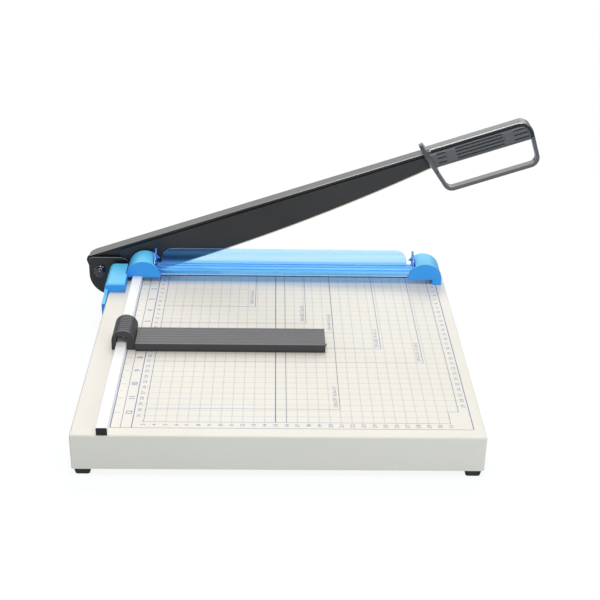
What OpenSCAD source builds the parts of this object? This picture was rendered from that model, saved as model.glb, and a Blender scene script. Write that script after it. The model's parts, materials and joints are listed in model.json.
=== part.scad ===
// Lever paper cutter: folded steel table, fence rail with sliding paper guide,
// sprung see-through clamp guard between two end caps, and a hinged arm with a curved blade.
// Millimetres, +Z up. The origin is on the desk under the middle of the table.
// Inside the modules, lengths are measured from the zero corner of the table:
// x from the fence edge, y from the cutting edge (negative toward the user), z from the table top.

/* [Table] */
// Width of the table, left to right
base_w = 375; // [360:1:420]
// Depth of the table, front edge to cutting edge
base_d = 343; // [320:1:400]
// Height of the folded skirt
skirt_h = 36; // [34:0.5:48]
// Thickness of the folded sheet
sheet_t = 1.5; // [1:0.1:2.5]
// Outside radius of the folds
fold_r = 1.8; // [1.5:0.1:4]
// Width of the flange folded in under the skirt
return_w = 19; // [18:0.5:26]

/* [Feet] */
// Height of a rubber foot
foot_h = 7.5; // [6:0.5:12]
// Width of a foot against the table
foot_w = 15.9; // [13:0.1:17.4]
// Width of a foot at the desk
foot_tip_w = 13.2; // [11:0.1:14]
// Distance of a foot's centre from the skirt's faces
foot_inset = 9.5; // [8.8:0.1:11.5]
// Diameter of a foot screw
foot_screw_d = 4; // [3:0.1:4.5]

/* [Bed knife] */
// Thickness of the fixed lower knife
knife_t = 3; // [2.5:0.1:4]
// Height of the fixed lower knife
knife_h = 18; // [14:0.5:24]
// Number of countersunk knife screws
knife_screw_count = 5; // [3:1:8]
// Diameter of a knife screw
knife_screw_d = 4; // [3:0.1:5]

/* [Fence rail] */
// Distance from the table's left face to the fence edge
fence_inset = 34.4; // [33.5:0.1:36]
// Width of the rail
rail_w = 10; // [9:0.1:11]
// Height of the rail
rail_h = 7.2; // [6.6:0.1:7.3]
// Depth of the groove in each side of the rail
rail_groove = 1.2; // [1:0.1:1.6]
// Distance of the rail's far end from the cutting edge
rail_stop = 6; // [5:0.5:12]
// Thickness of the plug's flange on the near end
plug_t = 1.2; // [1:0.1:3]
// Diameter of a rail screw
rail_screw_d = 3; // [2.5:0.1:3.5]

/* [Paper guide] */
// Distance from the cutting edge to the guide bar's far edge
guide_y = 157; // [150:1:170]
// Depth of the guide bar
bar_d = 35; // [30:0.1:36]
// Height of the guide bar
bar_h = 9.3; // [8:0.1:9.6]
// Reach of the guide bar over the table
bar_reach = 200; // [150:1:260]
// Number of grooves along the bar's top
bar_grooves = 6; // [4:1:8]
// Width of the slider's arch
slider_w = 23.2; // [22:0.1:25]
// Length of the slider along the rail
slider_l = 35.7; // [34:0.1:42]
// Height of the slider's straight sides
slider_leg = 10; // [9:0.1:12]
// How far the slider's arch overhangs the fence edge on the paper side
slider_over = 8.4; // [8:0.1:9]
// Distance from the slider's far end to the guide bar's far edge
slider_ahead = 4.5; // [2:0.1:5]
// Height of the straight sides of the slider's arched tunnel
tunnel_side = 11.5; // [10:0.1:12]
// Number of finger ribs round the slider
slider_ribs = 8; // [4:1:12]

/* [Clamp guard] */
// Gap for paper between the table and the raised clamp plate
paper_gap = 7.7; // [7.6:0.05:8.2]
// Thickness of the clamp plate
plate_t = 2.5; // [2:0.1:3]
// Distance from the cutting edge to the plate's front edge
plate_front = 33; // [31.5:0.1:33.5]
// Distance from the cutting edge to the shield's face
shield_back = 1.1; // [0.8:0.1:1.4]
// Thickness of the upright shield
shield_t = 1.8; // [1.4:0.1:2]
// Height of the shield's top edge above the table
shield_top = 27.6; // [24:0.1:34]
// Radius of the shield's top corners
shield_r = 13.5; // [4:0.5:14]
// Thickness of a guide fin
fin_t = 2; // [1.5:0.1:2.4]
// Height of a guide fin's back corner above the table
fin_top = 29.5; // [26:0.5:34]

/* [End caps] */
// Radius of an end cap's round top
cap_r = 19; // [18.6:0.1:20]
// Height of the round top's centre above the table
cap_axis_z = 6.2; // [5.8:0.1:7]
// Wall of an end cap
cap_wall = 2.5; // [2:0.1:2.8]
// Distance from the cutting edge to a cap's front
cap_front = 33.8; // [33.6:0.1:36]
// Distance from the cutting edge to a cap's open back
cap_back = 3.4; // [3.3:0.1:5]
// Distance from the fence edge to the left cap's middle
left_cap_x = 1.7; // [1.2:0.1:2.4]
// Distance from the right cap's middle to the table's right face
right_cap_inset = 23.1; // [22:0.1:27]
// Thickness of the rim over the open side at a cap's back
cap_rim_t = 2.5; // [2:0.1:3]
// Height of that rim's tip above the table
cap_tip_z = 16.5; // [15:0.1:18]
// Distance of the left cap's leg behind its front
left_leg_back = 10; // [6:0.5:10]
// Width of the right cap's leg
right_leg_w = 10.2; // [8:0.1:11]
// Distance of a guide fin from its cap's middle
fin_x = 12.4; // [12:0.1:12.8]
// Diameter of a cap or cover screw
cap_screw_d = 3; // [2.5:0.1:3.5]

/* [Clamp springs] */
// Mean diameter of a spring's coil
spring_d = 5; // [4:0.1:5.6]
// Wire diameter of a spring
spring_wire = 0.45; // [0.35:0.05:0.5]
// Turns of a spring
spring_turns = 4; // [3:1:5]

/* [Side cover] */
// Distance from the cutting edge to the cover's front
cover_front = 60.3; // [58:0.1:66]
// Height of the cover above the table
cover_h = 10.5; // [10:0.1:12]
// Wall of the cover
cover_wall = 2.5; // [2:0.1:3]
// Distance the cover stands out past the table's left face
cover_out = 4.1; // [3.6:0.1:5]
// Distance from the cutting edge to the front of the side flap
flap_front = 87; // [75:1:100]
// Depth of the side flap below the table top
flap_drop = 16.6; // [12:0.1:24]

/* [Pivot] */
// Distance of the pivot axis outside the table's left face
pivot_out = 16.7; // [16:0.1:19]
// Distance of the pivot axis below the table top
pivot_drop = 0.8; // [0:0.1:2]
// Diameter of the pivot bolt's shoulder
pivot_d = 8; // [7:0.1:9]
// Diameter of the pivot bolt's thread
pivot_thread_d = 6; // [5:0.1:6.5]
// Radial running clearance of the bush on the bolt
pivot_slack = 0.03; // [0.02:0.01:0.08]
// Bracket plate to the left of the pivot axis
bracket_left = 12.2; // [11:0.1:14]
// Bracket plate above the pivot axis
bracket_top = 16.5; // [14:0.1:18]
// Bracket plate below the pivot axis
bracket_bottom = 31; // [28:0.1:34]
// Overlap of the bracket plate on the table's back skirt
bracket_lap = 16.9; // [15.5:0.1:20]
// Diameter of a bracket screw
bracket_screw_d = 5; // [4:0.1:5.5]

/* [Arm] */
// Opening angle of the arm as it stands
arm_angle = 18.8; // [5:0.1:60]
// Height of the arm's top face above the pivot axis
arm_top = 19.5; // [18.5:0.1:21]
// Thickness of the arm's steel
arm_t = 2.5; // [2:0.1:3]
// Width of the arm's top flange
flange_w = 16.5; // [14:0.1:16.6]
// Distance of the blade's face from the bed knife's face
shear_gap = 0.1; // [0.05:0.05:0.3]
// Thickness of the blade
blade_t = 2; // [1.5:0.1:2.5]
// Height of the blade's straight back above the pivot axis
blade_back = 15.5; // [14.5:0.1:16]
// Rise of the curved cutting edge from its lowest point to the handle
edge_rise = 23.4; // [18:0.1:26]
// Lowest point of the cutting edge, along the arm from the pivot
edge_x = 73; // [60:1:85]
// Lowest point of the cutting edge below the pivot axis
edge_drop = 21.8; // [19:0.1:24]
// Width of the ground bevel behind the edge
bevel_w = 4; // [2:0.1:5]
// Start of the blade, along the arm from the pivot
blade_start = 28; // [24:0.5:36]
// Number of blade screws
blade_screw_count = 6; // [4:1:9]
// Diameter of a blade screw
blade_screw_d = 4; // [3:0.1:4.5]

/* [Handle] */
// Distance of the handle's finger stop past the table's right face when closed
ring_clear = 4.8; // [4.6:0.1:10]
// Thickness of the finger stop
ring_t = 4.2; // [2.5:0.1:5]
// Lean of the finger stop back over the arm
ring_lean = 15; // [0:0.5:16]
// Radius of the finger stop
ring_r = 14; // [13:0.1:18]
// Length of the grip
grip_l = 114; // [100:1:130]
// Width of the grip
grip_w = 18; // [17.6:0.1:20]
// Underside of the grip above the pivot line
grip_low = -0.5; // [-1:0.1:2]
// Wall of the grip over the arm's flange
grip_roof = 3; // [2.5:0.1:5]
// Thickness of the rim round the grip's top and end
rim_t = 1; // [0.8:0.1:2]
// Height of the shadow groove under the rim
rim_groove_h = 3.4; // [2:0.1:4]
// Depth of the shadow groove under the rim
rim_groove_deep = 2; // [1:0.1:2.4]
// Radius of the grip's rounded end
grip_end_r = 15.5; // [10:0.5:20]
// Depth of the finger loop below the grip
loop_drop = 33.1; // [30:0.1:36]
// Thickness of the loop's strap
loop_t = 4; // [3:0.1:6]
// Width of the loop's strap
loop_w = 10; // [8:0.1:14]
// Radius of the loop's outer corners
loop_r = 11; // [8:0.1:13]
// Diameter of a handle screw
handle_screw_d = 3.5; // [3:0.1:4]

/* [Fits] */
// Gap between moulded pieces that slide past each other
slide_gap = 0.6; // [0.4:0.05:0.8]
// Radial clearance of a screw in its hole
hole_slack = 0.2; // [0.1:0.05:0.3]
// Radial clearance of a screw in its thread
thread_slack = 0.05; // [0.02:0.01:0.1]
// Clearance of the arm in the handle's socket
socket_slack = 0.15; // [0.1:0.05:0.3]
// Gap under the paper guide
guide_gap = 0.3; // [0.2:0.05:0.4]

/* [Hidden] */
$fn = 64;
enamel_cream = [0.93, 0.91, 0.87];
plastic_blue = [0.25, 0.62, 0.95];
clear_blue = [0.35, 0.7, 0.95, 0.55];
plastic_white = [0.96, 0.96, 0.97];
plastic_black = [0.17, 0.17, 0.18];
enamel_black = [0.2, 0.2, 0.21];
steel = [0.72, 0.73, 0.75];
brass = [0.8, 0.62, 0.3];
// Oversize of a cutting shape past the face that it cuts
eps = 0.5;

// Where the zero corner stands, and the table's faces as seen from it
table_z = foot_h + skirt_h;
fence_x = fence_inset - base_w / 2;
cut_y = base_d / 2;
base_left = -fence_inset;
base_right = base_w - fence_inset;
base_front = -base_d;
tray_back = -knife_t;

// Screw heads and nuts as shares of the thread
function head_d(d) = 1.9 * d;
function pan_h(d) = 0.6 * d;
function sunk_h(d) = (head_d(d) - d) / 2;
function nut_af(d) = 1.75 * d;
function nut_h(d) = 0.8 * d;
screw_tail = 1;

// Feet
foot_spots = [
    for (x = [base_left + foot_inset, base_right - foot_inset])
    for (y = [base_front + foot_inset, tray_back - foot_inset]) [x, y]
];
foot_sink = foot_h / 2;
foot_corner = 1.26;

// Pivot bracket and bed knife share the back of the table
pivot_x = base_left - pivot_out;
pivot_z = -pivot_drop;
bracket_x1 = base_left + bracket_lap;
bracket_corner_r = 26;
bracket_top_r = 5;
bracket_shoulder_r = 9;
bracket_foot_r = 2;
bracket_screw_inset = 9;
bracket_screw_x = base_left + bracket_screw_inset;
bracket_screw_z = [-10, -24];
knife_gap = 0.5;
knife_x0 = bracket_x1 + knife_gap;
knife_x1 = base_right - knife_gap;
knife_screw_inset = 18;
knife_screw_pitch = (knife_x1 - knife_x0 - 2 * knife_screw_inset) / (knife_screw_count - 1);
knife_screw_x = [for (i = [0 : knife_screw_count - 1]) knife_x0 + knife_screw_inset + i * knife_screw_pitch];
knife_screw_z = -knife_h / 2;

// Fence rail
rail_y0 = base_front + plug_t;
rail_y1 = -rail_stop;
rail_groove_z = 2.2;
rail_groove_h = 1.6;
rail_bore_w = 5;
rail_bore_z = 4.2;
rail_roof = 0.8;
rail_bore_h = rail_h - rail_bore_z - rail_roof;
tenon_l = 8;
tenon_slack = 0.15;
rail_screw_near = 25;
rail_screw_far = 40;
rail_screw_spots = [rail_y0 + rail_screw_near, (rail_y0 + rail_y1) / 2, rail_y1 - rail_screw_far];
rail_screw_grip = 3;

// Paper guide
slider_x1 = slider_over;
slider_x0 = slider_x1 - slider_w;
slider_mid = (slider_x0 + slider_x1) / 2;
slider_y1 = slider_ahead - guide_y;
slider_y0 = slider_y1 - slider_l;
tunnel_gap = 0.35;
tunnel_r = rail_w / 2 + tunnel_gap;
lip_gap = 0.3;
lip_reach = rail_groove + tunnel_gap - lip_gap;
slider_rib_w = 1.4;
slider_rib_deep = 0.4;
slider_rib_pitch = slider_l / (slider_ribs + 1);
bar_y1 = -guide_y;
bar_y0 = bar_y1 - bar_d;
bar_seam = 0.6;
bar_x0 = slider_x1 + bar_seam;
bar_tenon_l = 4.9;
tenon_x0 = slider_x1 - bar_tenon_l;
bar_tenon_d = 20;
bar_tenon_y = (max(bar_y0, slider_y0) + min(bar_y1, slider_y1)) / 2;
bar_tenon_z0 = 2.2;
bar_tenon_z1 = 5.4;
guide_screw_d = 2.5;
guide_screw_l = 4.6;
guide_screw_pitch = 12;
guide_screw_x = (tenon_x0 + slider_x1) / 2;
guide_screw_y = [bar_tenon_y - guide_screw_pitch / 2, bar_tenon_y + guide_screw_pitch / 2];
groove_margin = 1.5;
groove_pitch = (bar_d - 2 * groove_margin) / bar_grooves;
groove_r = 3.5;
groove_deep = 0.7;
nub_d = 2.4;
nub_l = 1.2;
nub_inset = 4.2;
nub_low = 1.6;
toe_h = 2.2;
toe_deep = 1.5;

// End caps, in their own frame: middle at x = 0, inner side toward +x
cap_floor_t = 1.2;
cap_floor_drop = 0.2;
cap_floor_z = paper_gap - cap_floor_drop;
cap_floor_top = cap_floor_z + cap_floor_t;
cap_inner_r = cap_r - cap_wall;
right_cap_x = base_right - right_cap_inset;
left_leg_w = cap_r - left_cap_x - rail_w - slide_gap;
cap_inside_y0 = -cap_front + cap_wall;
cap_screw_front = 13.5;
cap_screw_back = 8;
cap_screw_y = [cap_screw_front - cap_front, -cap_back - cap_screw_back];
cap_screw_grip = 6;

// Clamp guard
fin_front = cap_inside_y0 + slide_gap;
fin_rim_gap = 0.9;
fin_back = -cap_back - cap_rim_t - fin_rim_gap;
fin_root = fin_x - fin_t / 2;
guard_x0 = left_cap_x + cap_r + slide_gap;
guard_x1 = right_cap_x - cap_r - slide_gap;
shield_over = 1.6;
rib_w = 1.6;
rib_h = 0.9;
rib_spots = [19.8, 12, 6.6];
ledge_t = 1.3;
ledge_run = 3;
ledge_fall = 2.7;
ledge_roof_gap = 0.8;
ledge_margin = 1;
ledge_side = 2;
ledge_end = fin_root - ledge_run;
ledge_top = cap_axis_z + sqrt(cap_inner_r * cap_inner_r - ledge_end * ledge_end) - ledge_roof_gap;
ledge_z = ledge_top - ledge_t;
ledge_root = 3.4;
spring_x = 5;
spring_y = (cap_inside_y0 - cap_back) / 2;
spring_l = ledge_z - cap_floor_top;
ledge_w = spring_d + spring_wire + 2 * ledge_side;
peg_slack = 0.4;
peg_d = spring_d - spring_wire - 2 * peg_slack;
peg_h = 1.6;

// Side cover
cover_x0 = base_left - cover_out;
cover_guide_gap = 1;
cover_x1 = slider_x0 - cover_guide_gap;
cover_back = -8;
cover_cap_gap = 0.5;
cover_cap_x = left_cap_x - cap_r - cover_cap_gap;
cover_cap_y = -cap_front - cover_cap_gap;
cover_fold_r = 6;
cover_corner_r = 6.5;
cover_front_r = 4;
cover_edge_r = 1;
cover_inner_r = 3;
flap_gap = 0.4;
flap_run = 5.7;
flap_root_z = 0.5;
flap_tip_z = -0.5;
cover_boss_d = 7;
cover_screw_inset = 10;
cover_screw_x = (base_left + cover_cap_x) / 2;
cover_screw_spots = [
    [cover_screw_x, cover_screw_inset - cover_front],
    [cover_screw_x, cover_back - cover_screw_inset]
];
cover_screw_grip = 5.5;

// Pivot stack, outward from the bracket plate's back face
web_y0 = shear_gap + blade_t;
web_y1 = web_y0 + arm_t;
bush_proud = 0.4;
bush_y1 = web_y1 + bush_proud;
bush_wall = 1.5;
bush_d = pivot_d + 2 * bush_wall;
bush_rim = 2.5;
bush_flange_d = bush_d + 2 * bush_rim;
washer_gap = 0.1;
washer_t = 1.2;
disc_t = 0.8;
disc_rise = 0.5;
disc_margin = 0.5;
washer_y0 = bush_y1 + washer_gap;
disc_y0 = washer_y0 + washer_t;
shoulder_l = disc_y0 + disc_t + disc_rise;
bolt_head_h = 0.65 * pivot_d;
bolt_head_af = 1.6 * pivot_d;
front_washer_d = 12.5;
lock_nut_h = nut_h(pivot_thread_d);
lock_collar_h = 1.6;

// Arm, in its own frame: x along the arm from the pivot, y from the bed knife's face, z square to the arm
ring_x = base_right - pivot_x + ring_clear;
heel_back = 11;
heel_drop = 14;
heel_r = 12;
heel_top_r = 6;
heel_flange = 6;
flange_heel_r = 8;
web_setback = 7;
blade_ring_gap = 0.8;
blade_end = ring_x - ring_t / 2 / cos(ring_lean) - blade_ring_gap;
blade_heel_r = 6;
blade_room = 10;
tang_z0 = 5.5;
tang_short = 18;
tang_lap = 20;
tang_r = 3;
tang_end = ring_x + grip_l - tang_short;
flange_short = 22;
flange_end = tang_end - flange_short;
flange_end_r = 4;
flange_shoulder = ring_x - arm_top * tan(ring_lean);
tongue_w = 10;
edge_fn = 1440;
edge_run = ring_x - edge_x;
edge_r = (edge_run * edge_run + edge_rise * edge_rise) / (2 * edge_rise);
edge_z = edge_r - edge_drop;
blade_screw_z = 10.5;
blade_screw_near = 30;
blade_screw_far = 24;
blade_screw_run = blade_end - blade_start - blade_screw_near - blade_screw_far;
blade_screw_pitch = blade_screw_run / (blade_screw_count - 1);
blade_screw_x0 = blade_start + blade_screw_near;
blade_screw_x = [for (i = [0 : blade_screw_count - 1]) blade_screw_x0 + i * blade_screw_pitch];
blade_skin = 0.4;
blade_screw_gap = 0.2;
blade_screw_bite = blade_t - blade_skin - blade_screw_gap;

// Handle, in the arm's frame
grip_mid = shear_gap + flange_w / 2;
grip_y0 = grip_mid - grip_w / 2;
grip_y1 = grip_mid + grip_w / 2;
grip_top = arm_top + grip_roof;
grip_end = ring_x + grip_l;
grip_low_r = 2.5;
grip_top_r = 4;
grip_tail_r = 3;
ring_proud = 7.5;
ring_z0 = grip_low + ring_r - ring_proud;
ring_z1 = grip_top + ring_proud - ring_r;
loop_z = grip_low - loop_drop + loop_r;
loop_root_z = grip_low + 6.5;
loop_near_root = 6.8;
loop_near = 15;
loop_far = 10.7;
loop_far_root = 10.5;
loop_points = [
    [ring_x + loop_near_root, loop_root_z], [ring_x + loop_near, loop_z],
    [grip_end - loop_far, loop_z], [grip_end - loop_far_root, loop_root_z]
];
pad_near = 21.5;
pad_far = 27.5;
pad_x = [ring_x + pad_near, grip_end - pad_far];
pad_wall = 0.9;
pad_w = head_d(handle_screw_d) + 2 * (hole_slack + pad_wall);
pad_h = 9.6;
grip_root = 9;
rim_groove_start = 1;
panel_edge = 0.6;
panel_inset = rim_t + rim_groove_h + panel_edge;
panel_z0 = grip_low + grip_low_r;
panel_z1 = grip_top - panel_inset;
panel_near = 5.5;
panel_x0 = ring_x + panel_near;
panel_deep = 0.6;
panel_groove_deep = 1.2;
panel_groove_w = 1.7;
panel_groove_edge = 0.8;
panel_groove_gap = 1.5;
handle_skin = 1;
handle_screw_tip = 1;
handle_screw_z = (tang_z0 + arm_top - arm_t) / 2;

// Placing
module zero() translate([fence_x, cut_y, table_z]) children();
module in_arm() zero() translate([pivot_x, 0, pivot_z]) rotate([0, -arm_angle, 0]) children();
module at_pivot() zero() translate([pivot_x, 0, pivot_z]) children();
module in_left_cap() zero() translate([left_cap_x, 0, 0]) children();
module in_right_cap() zero() translate([right_cap_x, 0, 0]) mirror([1, 0, 0]) children();

// A block between two corners
module block(low, high) translate(low) cube(high - low);

// Extrusions of an outline drawn in x and z, or in y and z
module along_y(y0, y1) translate([0, y1, 0]) rotate([90, 0, 0]) linear_extrude(y1 - y0) children();
module along_x(x0, x1) translate([x0, 0, 0]) rotate([90, 0, 90]) linear_extrude(x1 - x0) children();

// A round bar along y
module bar_y(d, y0, y1) translate([0, y0, 0]) rotate([-90, 0, 0]) cylinder(d = d, h = y1 - y0);

// What a rounded corner takes off, for a corner at the origin that points to minus x and minus y
module corner_waste(r) {
    difference() {
        translate([-eps, -eps]) square(r + eps);
        translate([r, r]) circle(r);
    }
}

// A rectangle with a radius of its own at each corner: low left, low right, top right, top left
module rounded(x0, x1, y0, y1, r) {
    difference() {
        translate([x0, y0]) square([x1 - x0, y1 - y0]);
        if (r[0] > 0) translate([x0, y0]) corner_waste(r[0]);
        if (r[1] > 0) translate([x1, y0]) mirror([1, 0]) corner_waste(r[1]);
        if (r[2] > 0) translate([x1, y1]) rotate(180) corner_waste(r[2]);
        if (r[3] > 0) translate([x0, y1]) mirror([0, 1]) corner_waste(r[3]);
    }
}

// The outline of a belt round equal circles, whose centres run counter-clockwise
module belt(points, r) {
    count = len(points);
    normals = [
        for (i = [0 : count - 1])
        let (run = points[(i + 1) % count] - points[i])
        [run[1], -run[0]] / norm(run)
    ];
    polygon([
        for (i = [0 : count - 1])
        for (side = [normals[(i + count - 1) % count], normals[i]])
        points[i] + r * side
    ]);
    for (p = points) translate(p) circle(r);
}

// Screws point up from a head whose seat is at z = 0
module cross_recess(d, h) {
    for (turn = [0, 90])
        rotate(turn) translate([-0.55 * d, -0.12 * d, -h - eps]) cube([1.1 * d, 0.24 * d, 0.5 * h + eps]);
}
module pan_screw(d, l) {
    difference() {
        union() {
            translate([0, 0, -pan_h(d)]) cylinder(d = head_d(d), h = pan_h(d));
            cylinder(d = d, h = l);
        }
        cross_recess(d, pan_h(d));
    }
}
module sunk_screw(d, l) {
    difference() {
        union() {
            cylinder(d1 = head_d(d), d2 = d, h = sunk_h(d));
            cylinder(d = d, h = l);
        }
        translate([0, 0, 0.5 * d]) cross_recess(d, 0.5 * d);
    }
}
module sunk_hole(d, l) {
    big = d + 2 * hole_slack;
    translate([0, 0, -eps]) cylinder(d = big, h = l + eps);
    cylinder(d1 = head_d(d) + 2 * hole_slack, d2 = big, h = sunk_h(d));
    translate([0, 0, -eps]) cylinder(d = head_d(d) + 2 * hole_slack, h = eps);
}
module hex_nut(d) {
    difference() {
        cylinder(d = nut_af(d) / cos(30), h = nut_h(d), $fn = 6);
        translate([0, 0, -eps]) cylinder(d = d + 2 * thread_slack, h = nut_h(d) + 2 * eps);
    }
}
module through_hole(d, z0, z1) translate([0, 0, z0]) cylinder(d = d + 2 * hole_slack, h = z1 - z0);
module pilot_hole(d, l) translate([0, 0, -eps]) cylinder(d = d + 2 * thread_slack, h = l + 2 * eps);

// A wound spring standing on z = 0
module coil_spring(d, wire, l, turns) {
    ring_steps = 8;
    sides = 6;
    rings = turns * ring_steps;
    rise = (l - wire) / rings;
    points = [
        for (i = [0 : rings], j = [0 : sides - 1])
        let (a = 360 * i / ring_steps, b = 360 * j / sides + 30, out = d / 2 + wire / 2 * cos(b))
        [out * cos(a), out * sin(a), wire / 2 + i * rise + wire / 2 * sin(b)]
    ];
    walls = [
        for (i = [0 : rings - 1], j = [0 : sides - 1])
        let (a = i * sides + j, b = i * sides + (j + 1) % sides)
        each [[a, b, b + sides], [a, b + sides, a + sides]]
    ];
    ends = [
        [for (j = [sides - 1 : -1 : 0]) j],
        [for (j = [0 : sides - 1]) rings * sides + j]
    ];
    centres = [
        for (i = [0 : rings])
        let (a = 360 * i / ring_steps) [d / 2 * cos(a), d / 2 * sin(a), i * rise]
    ];
    gaps = [
        for (i = [0 : rings], j = [i + ring_steps / 2 : 1 : rings]) norm(centres[i] - centres[j]) - wire
    ];
    echo(spring_least_gap = min(gaps));
    polyhedron(points, concat(walls, ends));
}

// Table: a tray folded from sheet steel, with a flange folded in under the skirt
module tray_form() {
    intersection() {
        translate([0, 0, -skirt_h]) linear_extrude(skirt_h)
            rounded(base_left, base_right, base_front, tray_back, [fold_r, fold_r, fold_r, fold_r]);
        along_y(base_front, tray_back) rounded(base_left, base_right, -skirt_h, 0, [0, 0, fold_r, fold_r]);
        along_x(base_left, base_right) rounded(base_front, tray_back, -skirt_h, 0, [0, 0, 0, fold_r]);
    }
}
module base_tray() color(enamel_cream) zero() {
    difference() {
        tray_form();
        block([base_left + sheet_t, base_front + sheet_t, sheet_t - skirt_h],
              [base_right - sheet_t, tray_back - sheet_t, -sheet_t]);
        block([base_left + return_w, base_front + return_w, -skirt_h - eps],
              [base_right - return_w, tray_back - return_w, 2 * sheet_t - skirt_h]);
        for (p = foot_spots)
            translate(p) through_hole(foot_screw_d, -skirt_h - eps, sheet_t - skirt_h + eps);
        for (y = rail_screw_spots)
            translate([-rail_w / 2, y, 0]) through_hole(rail_screw_d, -sheet_t - eps, eps);
        for (y = cap_screw_y) {
            translate([left_cap_x - cap_r + left_leg_w / 2, y, 0])
                through_hole(cap_screw_d, -sheet_t - eps, eps);
            translate([right_cap_x + cap_r - right_leg_w / 2, y, 0])
                through_hole(cap_screw_d, -sheet_t - eps, eps);
        }
        for (p = cover_screw_spots)
            translate(p) through_hole(cap_screw_d, -sheet_t - eps, eps);
        for (x = knife_screw_x)
            translate([x, 0, knife_screw_z])
                bar_y(knife_screw_d + 2 * hole_slack, tray_back - sheet_t - eps, tray_back + eps);
        for (z = bracket_screw_z)
            translate([bracket_screw_x, 0, z])
                bar_y(bracket_screw_d + 2 * hole_slack, tray_back - sheet_t - eps, tray_back + eps);
    }
}

// Feet: tapered rubber buttons, each held by a screw sunk in its underside
module foot_side() {
    polygon([[-foot_tip_w / 2, 0], [foot_tip_w / 2, 0], [foot_w / 2, foot_h], [-foot_w / 2, foot_h]]);
}
module foot(spot) color(plastic_black) zero() translate([spot[0], spot[1], -skirt_h - foot_h]) {
    difference() {
        intersection() {
            along_x(-foot_w, foot_w) foot_side();
            along_y(-foot_w, foot_w) foot_side();
            cylinder(d1 = foot_tip_w * foot_corner, d2 = foot_w * foot_corner, h = foot_h);
        }
        translate([0, 0, -eps]) cylinder(d = head_d(foot_screw_d) + 2 * hole_slack, h = foot_sink + eps);
        translate([0, 0, -eps]) cylinder(d = foot_screw_d + 2 * hole_slack, h = foot_h + 2 * eps);
    }
}
module foot_front_left() foot(foot_spots[0]);
module foot_back_left() foot(foot_spots[1]);
module foot_front_right() foot(foot_spots[2]);
module foot_back_right() foot(foot_spots[3]);
module foot_screws() color(steel) zero() {
    for (p = foot_spots)
        translate([p[0], p[1], foot_sink - foot_h - skirt_h])
            pan_screw(foot_screw_d, foot_h - foot_sink + sheet_t + nut_h(foot_screw_d) + screw_tail);
}
module foot_nuts() color(steel) zero() {
    for (p = foot_spots) translate([p[0], p[1], sheet_t - skirt_h]) hex_nut(foot_screw_d);
}

// Bed knife: ground steel bar flush with the table top, screwed to the back skirt
module bed_knife() color(steel) zero() {
    difference() {
        block([knife_x0, tray_back, -knife_h], [knife_x1, 0, 0]);
        for (x = knife_screw_x)
            translate([x, 0, knife_screw_z]) rotate([90, 0, 0]) sunk_hole(knife_screw_d, knife_t + eps);
    }
}
module back_screws(spots, d) {
    for (p = spots)
        translate([p[0], 0, p[1]]) rotate([90, 0, 0])
            sunk_screw(d, knife_t + sheet_t + nut_h(d) + screw_tail);
}
module back_nuts(spots, d) {
    for (p = spots) translate([p[0], tray_back - sheet_t, p[1]]) rotate([90, 0, 0]) hex_nut(d);
}
knife_screw_spots = [for (x = knife_screw_x) [x, knife_screw_z]];
bracket_screw_spots = [for (z = bracket_screw_z) [bracket_screw_x, z]];
module knife_screws() color(steel) zero() back_screws(knife_screw_spots, knife_screw_d);
module knife_nuts() color(steel) zero() back_nuts(knife_screw_spots, knife_screw_d);

// Fence rail: hollow bar with a groove in each side, closed by a plug at the near end
module fence_rail() color(plastic_white) zero() {
    difference() {
        block([-rail_w, rail_y0, 0], [0, rail_y1, rail_h]);
        for (x = [-rail_w - eps, -rail_groove])
            block([x, rail_y0 - eps, rail_groove_z],
                  [x + rail_groove + eps, rail_y1 + eps, rail_groove_z + rail_groove_h]);
        block([-(rail_w + rail_bore_w) / 2, rail_y0 - eps, rail_bore_z],
              [-(rail_w - rail_bore_w) / 2, rail_y1 + eps, rail_bore_z + rail_bore_h]);
        for (y = rail_screw_spots) translate([-rail_w / 2, y, 0]) pilot_hole(rail_screw_d, rail_screw_grip);
    }
}
module rail_end_plug() color(plastic_black) zero() {
    block([-rail_w, base_front, 0], [0, rail_y0, rail_h]);
    tenon_half = rail_bore_w / 2 - tenon_slack;
    block([-rail_w / 2 - tenon_half, rail_y0 - eps, rail_bore_z + tenon_slack],
          [-rail_w / 2 + tenon_half, rail_y0 + tenon_l, rail_bore_z + rail_bore_h - tenon_slack]);
}
module rail_screws() color(steel) zero() {
    for (y = rail_screw_spots)
        translate([-rail_w / 2, y, -sheet_t]) pan_screw(rail_screw_d, sheet_t + rail_screw_grip);
}

// End caps: round-topped mouldings, open at the back, that bridge the paper on one outer leg.
// Each has a floor for its clamp spring and is open on the inner side, where the guard's fin closes it.
module end_cap(leg_w, leg_back) {
    difference() {
        union() {
            along_y(-cap_front, -cap_back) difference() {
                translate([0, cap_axis_z]) circle(cap_r, $fn = 128);
                translate([-cap_r - eps, cap_floor_z - 2 * cap_r]) square(2 * cap_r + 2 * eps);
            }
            along_y(-cap_front, cap_inside_y0)
                translate([-cap_r, cap_axis_z]) square([2 * cap_r, cap_floor_top - cap_axis_z]);
            block([-cap_r, leg_back - cap_front, 0], [leg_w - cap_r, -cap_back, cap_floor_top]);
        }
        along_y(cap_inside_y0, eps) difference() {
            translate([0, cap_axis_z]) circle(cap_inner_r, $fn = 128);
            translate([-cap_r, cap_floor_top - 2 * cap_r]) square(2 * cap_r);
        }
        block([fin_root - slide_gap, cap_inside_y0, cap_floor_z - eps],
              [cap_r + eps, -cap_back - cap_rim_t, cap_axis_z + cap_r]);
        block([fin_root - slide_gap, -cap_back - cap_rim_t - eps, cap_floor_z - eps],
              [cap_r + eps, eps, cap_tip_z]);
        for (y = cap_screw_y) translate([leg_w / 2 - cap_r, y, 0]) pilot_hole(cap_screw_d, cap_screw_grip);
    }
    translate([spring_x, spring_y, cap_floor_top]) cylinder(d = peg_d, h = peg_h);
}
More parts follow.
